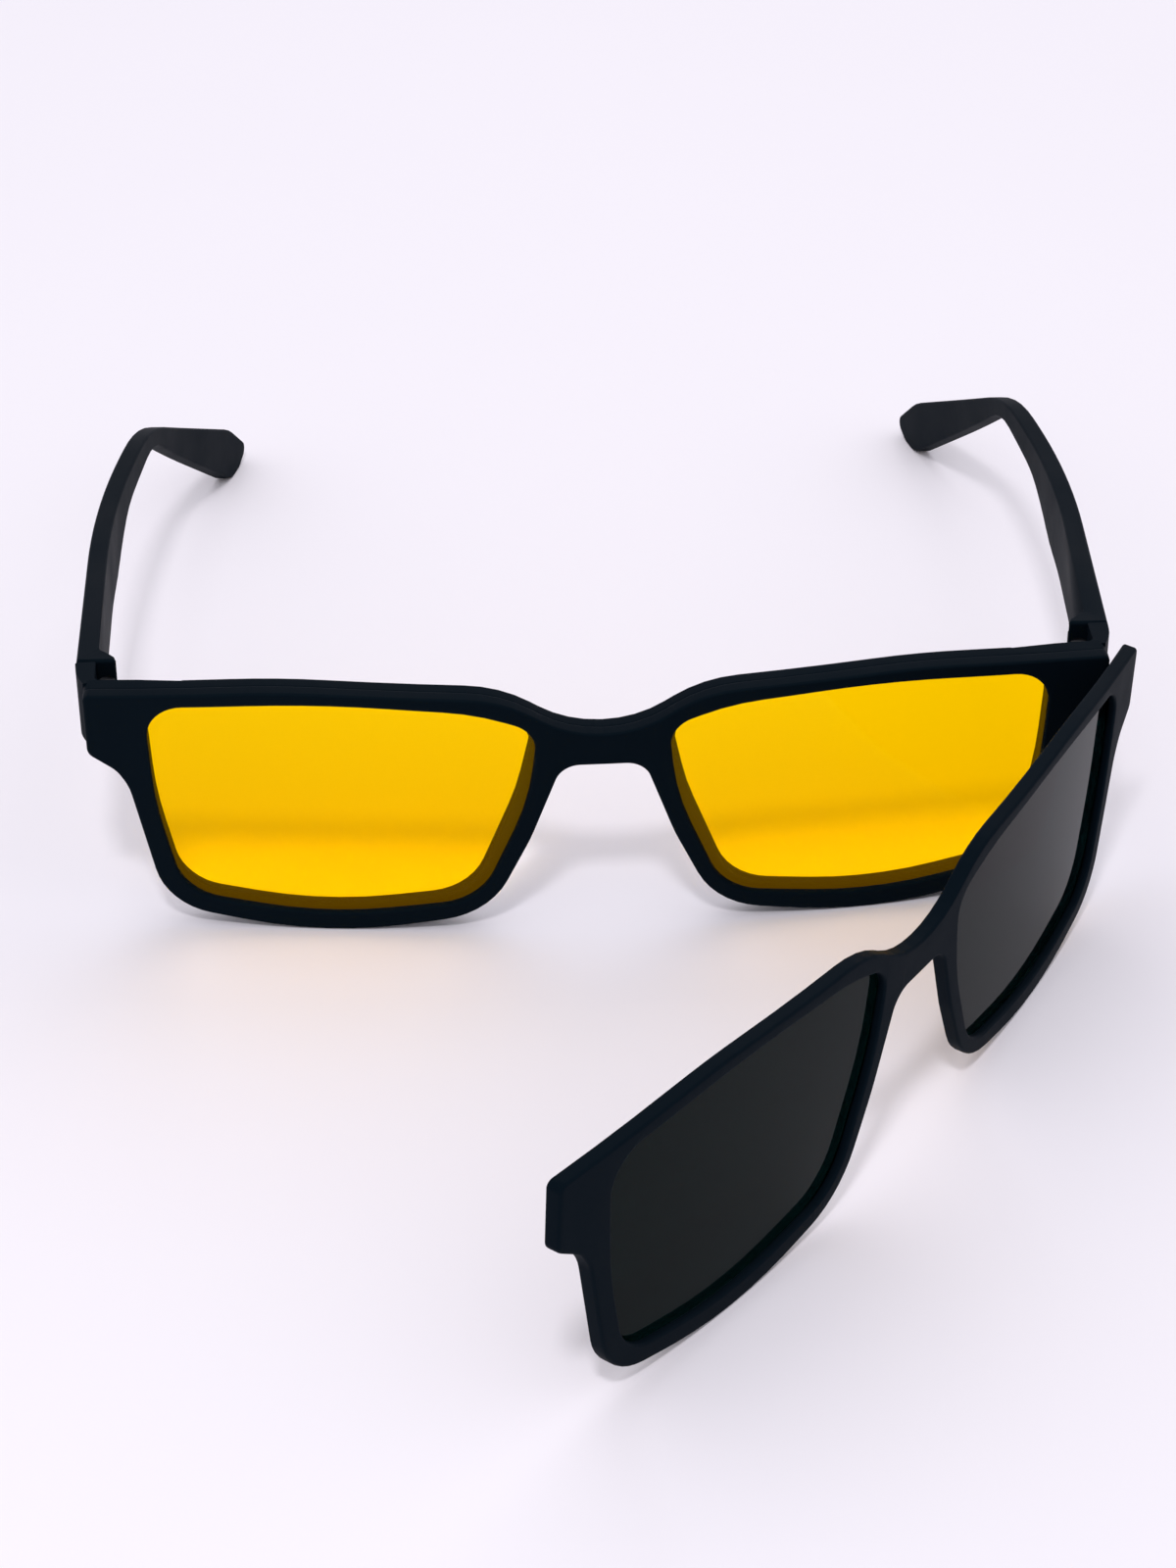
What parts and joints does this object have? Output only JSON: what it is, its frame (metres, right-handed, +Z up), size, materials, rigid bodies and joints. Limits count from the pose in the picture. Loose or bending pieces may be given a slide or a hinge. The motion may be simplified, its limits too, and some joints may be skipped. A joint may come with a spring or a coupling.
{
  "type": "eyeglasses",
  "caption": "Square black eyeglasses with folding temples and two magnetic clip-on fronts, one yellow and worn, one dark grey and standing beside them.",
  "frame": {"origin": "centre of the whole object's footprint, on the table at z = 0", "axes": "the glasses face -Y with their temples running towards +Y, the wearer's left is +X, and +Z is up"},
  "size_m": [0.1462, 0.247, 0.0406],
  "materials": {
    "black_plastic": "satin moulded, very fine grain",
    "clear_lens": "polished, colourless",
    "yellow_lens": "polished, tinted yellow",
    "grey_lens": "polished, dark grey-green",
    "hinge_metal": "black plated",
    "screw_metal": "dark plated",
    "magnet_steel": "nickel plated"
  },
  "bodies": {
    "front": {"front_frame": "black_plastic", "right_lens": "clear_lens", "left_lens": "clear_lens", "right_frame_magnet": "magnet_steel", "left_frame_magnet": "magnet_steel", "right_front_hinge": "hinge_metal", "left_front_hinge": "hinge_metal", "right_hinge_screw": "screw_metal", "left_hinge_screw": "screw_metal"},
    "right_temple_arm": {"right_temple": "black_plastic", "right_temple_hinge": "hinge_metal"},
    "left_temple_arm": {"left_temple": "black_plastic", "left_temple_hinge": "hinge_metal"},
    "yellow_clip_on": {"yellow_clip_frame": "black_plastic", "yellow_right_lens": "yellow_lens", "yellow_left_lens": "yellow_lens", "yellow_right_magnet": "magnet_steel", "yellow_left_magnet": "magnet_steel"},
    "grey_clip_on": {"grey_clip_frame": "black_plastic", "grey_right_lens": "grey_lens", "grey_left_lens": "grey_lens", "grey_right_magnet": "magnet_steel", "grey_left_magnet": "magnet_steel"}
  },
  "joints": [
    {"name": "right_temple_fold", "type": "hinge", "parent": "front", "child": "right_temple_arm", "pos_m": [-0.06863, -0.00891, 0.03325], "axis": [0, 0, -1], "range_deg": [-4, 83]},
    {"name": "left_temple_fold", "type": "hinge", "parent": "front", "child": "left_temple_arm", "pos_m": [0.06487, -0.00891, 0.03325], "axis": [0, 0, 1], "range_deg": [0, 78]},
    {"name": "yellow_clip_lift", "type": "slide", "parent": "front", "child": "yellow_clip_on", "axis": [0, -0.0741, 0.9973], "range_m": [0, 0.06]},
    {"name": "grey_clip_lift", "type": "slide", "parent": "front", "child": "grey_clip_on", "axis": [0, -0.342, 0.9397], "range_m": [0, 0.06]}
  ]
}
